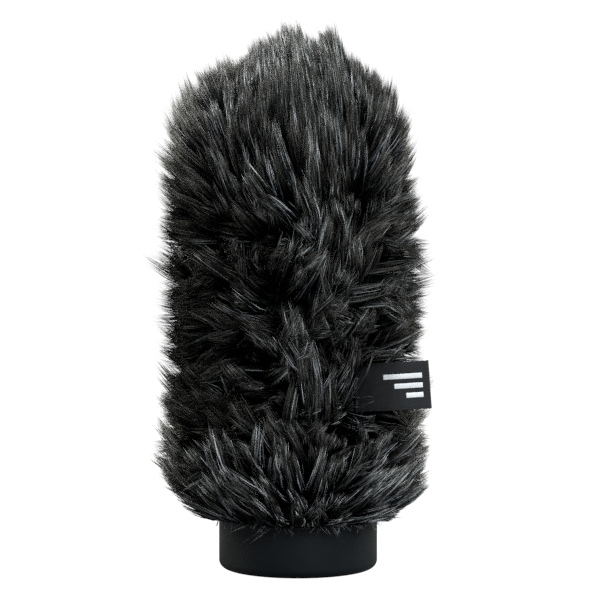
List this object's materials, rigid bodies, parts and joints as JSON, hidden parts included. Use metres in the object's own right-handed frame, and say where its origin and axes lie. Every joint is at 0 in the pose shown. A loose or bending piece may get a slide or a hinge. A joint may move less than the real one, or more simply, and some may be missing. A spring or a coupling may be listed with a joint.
{
  "type": "furry microphone windscreen",
  "caption": "Slip-on fur windscreen with a rubber grip collar, a foam-lined hollow core, a removable fur cover and a flapping side label.",
  "frame": {"origin": "centre of the rubber collar's bottom face", "axes": "+Z along the microphone's axis towards the closed domed end, -Y is the front, and the label is sewn into the seam between -Y and +X"},
  "size_m": [0.0936, 0.093, 0.1955],
  "materials": {
    "bush_rubber": "matte",
    "cap_plastic": "satin",
    "collar_rubber": "matte",
    "fur_pile": "matte",
    "hem_binding": "matte",
    "hem_elastic": "matte",
    "inner_foam": "matte",
    "knit_backing": "matte",
    "label_weave": "matte",
    "liner_plastic": "satin",
    "outer_foam": "matte",
    "pale_stitch": "satin",
    "ring_plastic": "satin",
    "seam_tape": "matte",
    "sewing_thread": "satin",
    "spacer_plastic": "satin",
    "washer_foam": "matte"
  },
  "bodies": {
    "core": {"rubber_collar": "collar_rubber", "grip_bush": "bush_rubber", "base_ring": "ring_plastic", "open_liner": "liner_plastic", "liner_cap": "cap_plastic", "base_washer": "washer_foam", "inner_foam": "inner_foam", "spacer_rings": "spacer_plastic", "outer_foam_sleeve": "outer_foam", "outer_foam_cap": "outer_foam"},
    "cover": {"backing_front": "knit_backing", "backing_right": "knit_backing", "backing_back": "knit_backing", "backing_left": "knit_backing", "fur_front": "fur_pile", "fur_right": "fur_pile", "fur_back": "fur_pile", "fur_left": "fur_pile", "seam_tapes": "seam_tape", "seam_threads": "sewing_thread", "hem_binding": "hem_binding", "hem_elastic": "hem_elastic", "label_loops": "sewing_thread"},
    "tag": {"woven_label": "label_weave", "motif_bars": "pale_stitch"}
  },
  "joints": [
    {"name": "cover_slide", "type": "slide", "parent": "core", "child": "cover", "axis": [0, 0, 1], "range_m": [0, 0.165]},
    {"name": "tag_flap", "type": "hinge", "parent": "cover", "child": "tag", "pos_m": [0.02114, -0.02114, 0.0675], "axis": [0, 0, 1], "range_deg": [-18, 14]}
  ]
}
